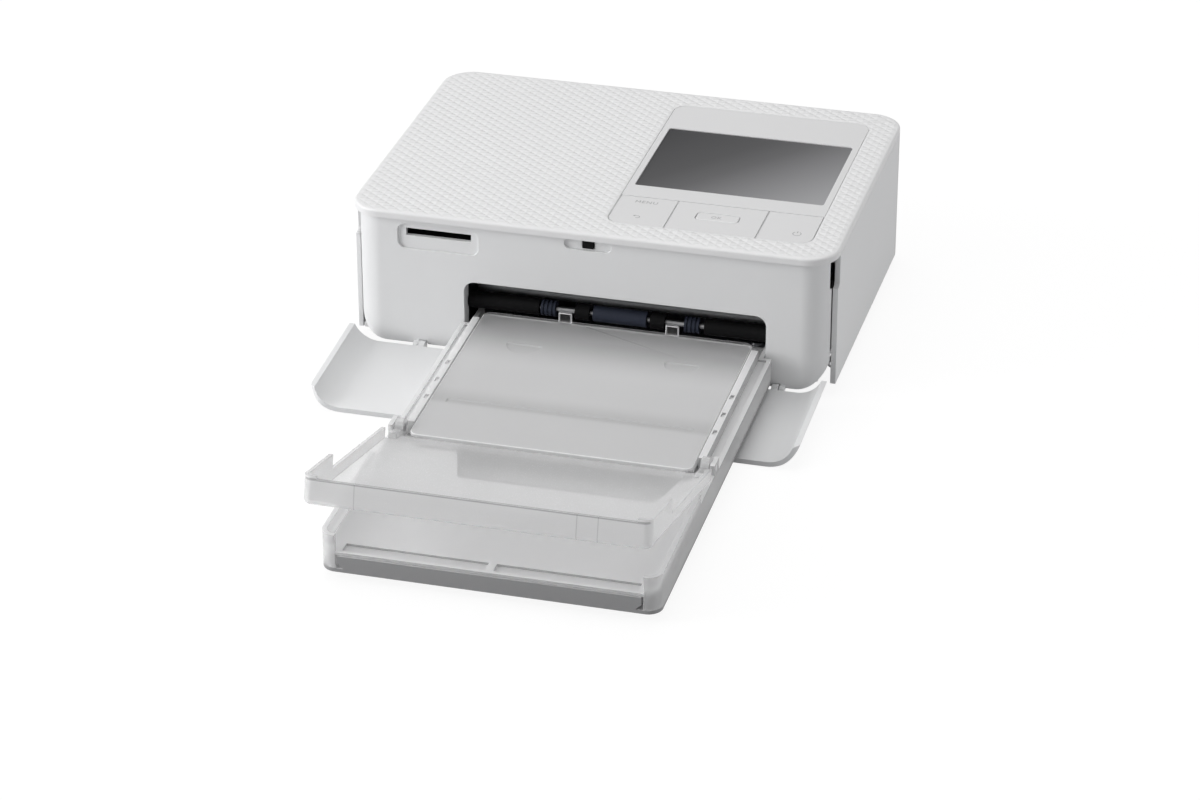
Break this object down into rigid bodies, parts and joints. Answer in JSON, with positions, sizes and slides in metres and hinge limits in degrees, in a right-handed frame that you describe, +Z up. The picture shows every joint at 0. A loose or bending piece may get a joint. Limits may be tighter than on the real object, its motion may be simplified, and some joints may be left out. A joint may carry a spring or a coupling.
{
  "type": "compact photo printer",
  "caption": "Compact desktop photo printer with a colour screen, hinged front cover let down, and a hinged-lid paper cassette in its front opening.",
  "frame": {"origin": "on the table, under the middle of the printer body's footprint", "axes": "+X to the right seen from the front, +Y to the rear along the paper lane, +Z up"},
  "size_m": [0.1822, 0.31, 0.0576],
  "materials": {
    "shell_white": "fine matt texture",
    "shell_side": "fine matt texture",
    "panel_white": "smooth satin",
    "screen": "dark gloss",
    "milky": "frosted translucent",
    "tray_grey": "matt",
    "black": "matt",
    "steel": "rolled sheet",
    "rubber_blue": "ribbed",
    "rubber": "matt",
    "gear_white": "moulded",
    "aluminium": "extruded",
    "brass": "cut",
    "board_green": "coated board",
    "ink_grey": "matt",
    "film": "thin film"
  },
  "bodies": {
    "printer": {"top_cover": "shell_white", "front_housing": "shell_side", "left_panel": "shell_side", "rear_panel": "shell_side", "port_plate": "shell_side", "base_pan": "shell_side", "feet": "rubber", "door_pins": "steel", "cover_catch": "black", "control_panel": "panel_white", "display_window": "screen", "display_module": "steel", "key_board": "board_green", "chassis": "steel", "bay_liner": "black", "bushes": "gear_white", "thermal_head": "aluminium", "head_bracket": "steel", "head_springs": "steel", "motor": "steel", "motor_bracket": "steel", "idler_post": "steel", "ink_shell": "ink_grey", "ribbon": "film", "lever_pin": "steel", "main_board": "board_green", "card_reader": "steel", "usb_port": "steel", "power_inlet": "black", "screws": "steel"},
    "ink_door": {"ink_door": "shell_side"},
    "front_cover": {"front_cover": "shell_side", "cover_pins": "steel"},
    "left_key": {"left_key": "panel_white"},
    "four_way_pad": {"four_way_pad": "panel_white"},
    "ok_button": {"ok_button": "panel_white"},
    "power_key": {"power_key": "panel_white"},
    "pickup": {"pickup_shaft": "steel", "pickup_rollers": "rubber_blue", "shaft_collars": "black", "pickup_gear": "gear_white"},
    "feed": {"feed_roller": "steel", "feed_gear": "gear_white"},
    "pinch": {"pinch_roller": "rubber"},
    "platen": {"platen_roller": "rubber"},
    "pinion": {"motor_pinion": "brass"},
    "idler": {"idler_gear": "gear_white"},
    "takeup": {"takeup_gear": "gear_white", "takeup_spool": "black"},
    "supply": {"supply_spool": "black"},
    "eject_lever": {"eject_lever": "gear_white"},
    "cassette": {"cassette_body": "milky", "lower_tray": "tray_grey", "lift_plate": "steel", "inner_cover": "milky"},
    "outer_lid": {"outer_lid": "milky", "lid_pins": "steel"}
  },
  "joints": [
    {"name": "cover_hinge", "type": "hinge", "parent": "printer", "child": "front_cover", "pos_m": [0, -0.0659, 0.0036], "axis": [-1, 0, 0], "range_deg": [0, 3]},
    {"name": "ink_door_hinge", "type": "hinge", "parent": "printer", "child": "ink_door", "pos_m": [0.0873, 0, 0.006], "axis": [0, 1, 0], "range_deg": [0, 88]},
    {"name": "left_key_press", "type": "slide", "parent": "printer", "child": "left_key", "axis": [0, 0, -1], "range_m": [0, 0.0004], "stiffness_N_per_m": 900, "springref_m": -0.0006},
    {"name": "ok_press", "type": "slide", "parent": "printer", "child": "ok_button", "axis": [0, 0, -1], "range_m": [0, 0.0004], "stiffness_N_per_m": 900, "springref_m": -0.0006},
    {"name": "power_press", "type": "slide", "parent": "printer", "child": "power_key", "axis": [0, 0, -1], "range_m": [0, 0.0004], "stiffness_N_per_m": 900, "springref_m": -0.0006},
    {"name": "pad_rock", "type": "hinge", "parent": "printer", "child": "four_way_pad", "pos_m": [0.0425, -0.042, 0.0563], "axis": [0, 1, 0], "range_deg": [-1.2, 1.2], "stiffness_Nm_per_rad": 0.2},
    {"name": "pickup_turn", "type": "hinge", "parent": "printer", "child": "pickup", "pos_m": [0.0107, -0.0575, 0.0215], "axis": [1, 0, 0], "continuous": true},
    {"name": "feed_turn", "type": "hinge", "parent": "printer", "child": "feed", "pos_m": [0.0107, -0.0415, 0.0213], "axis": [1, 0, 0], "continuous": true},
    {"name": "pinch_turn", "type": "hinge", "parent": "printer", "child": "pinch", "pos_m": [0.0107, -0.0415, 0.0286], "axis": [1, 0, 0], "continuous": true},
    {"name": "platen_turn", "type": "hinge", "parent": "printer", "child": "platen", "pos_m": [0.0107, -0.0065, 0.0188], "axis": [1, 0, 0], "continuous": true},
    {"name": "pinion_turn", "type": "hinge", "parent": "printer", "child": "pinion", "pos_m": [0.0107, 0.00353, 0.02805], "axis": [1, 0, 0], "continuous": true},
    {"name": "idler_turn", "type": "hinge", "parent": "printer", "child": "idler", "pos_m": [0.0107, -0.01525, 0.02406], "axis": [1, 0, 0], "continuous": true},
    {"name": "takeup_turn", "type": "hinge", "parent": "printer", "child": "takeup", "pos_m": [0.0107, -0.0278, 0.038], "axis": [1, 0, 0], "continuous": true},
    {"name": "supply_turn", "type": "hinge", "parent": "printer", "child": "supply", "pos_m": [0.0107, 0.0148, 0.038], "axis": [1, 0, 0], "continuous": true},
    {"name": "eject_swing", "type": "hinge", "parent": "printer", "child": "eject_lever", "pos_m": [0.0107, 0.0283, 0.03], "axis": [-1, 0, 0], "range_deg": [0, 20], "stiffness_Nm_per_rad": 0.02, "springref_deg": -5.73},
    {"name": "cassette_slide", "type": "slide", "parent": "printer", "child": "cassette", "axis": [0, -0.9998, -0.0192], "range_m": [0, 0.06]},
    {"name": "lid_hinge", "type": "hinge", "parent": "cassette", "child": "outer_lid", "pos_m": [0.0107, -0.15074, 0.01663], "axis": [-1, 0, 0], "range_deg": [0, 120]}
  ],
  "couplings": [
    {"joint": "pickup_turn", "follows": "feed_turn", "ratio": -3},
    {"joint": "idler_turn", "follows": "feed_turn", "ratio": -0.83333},
    {"joint": "pinion_turn", "follows": "feed_turn", "ratio": 2.5},
    {"joint": "takeup_turn", "follows": "feed_turn", "ratio": -1.25}
  ]
}
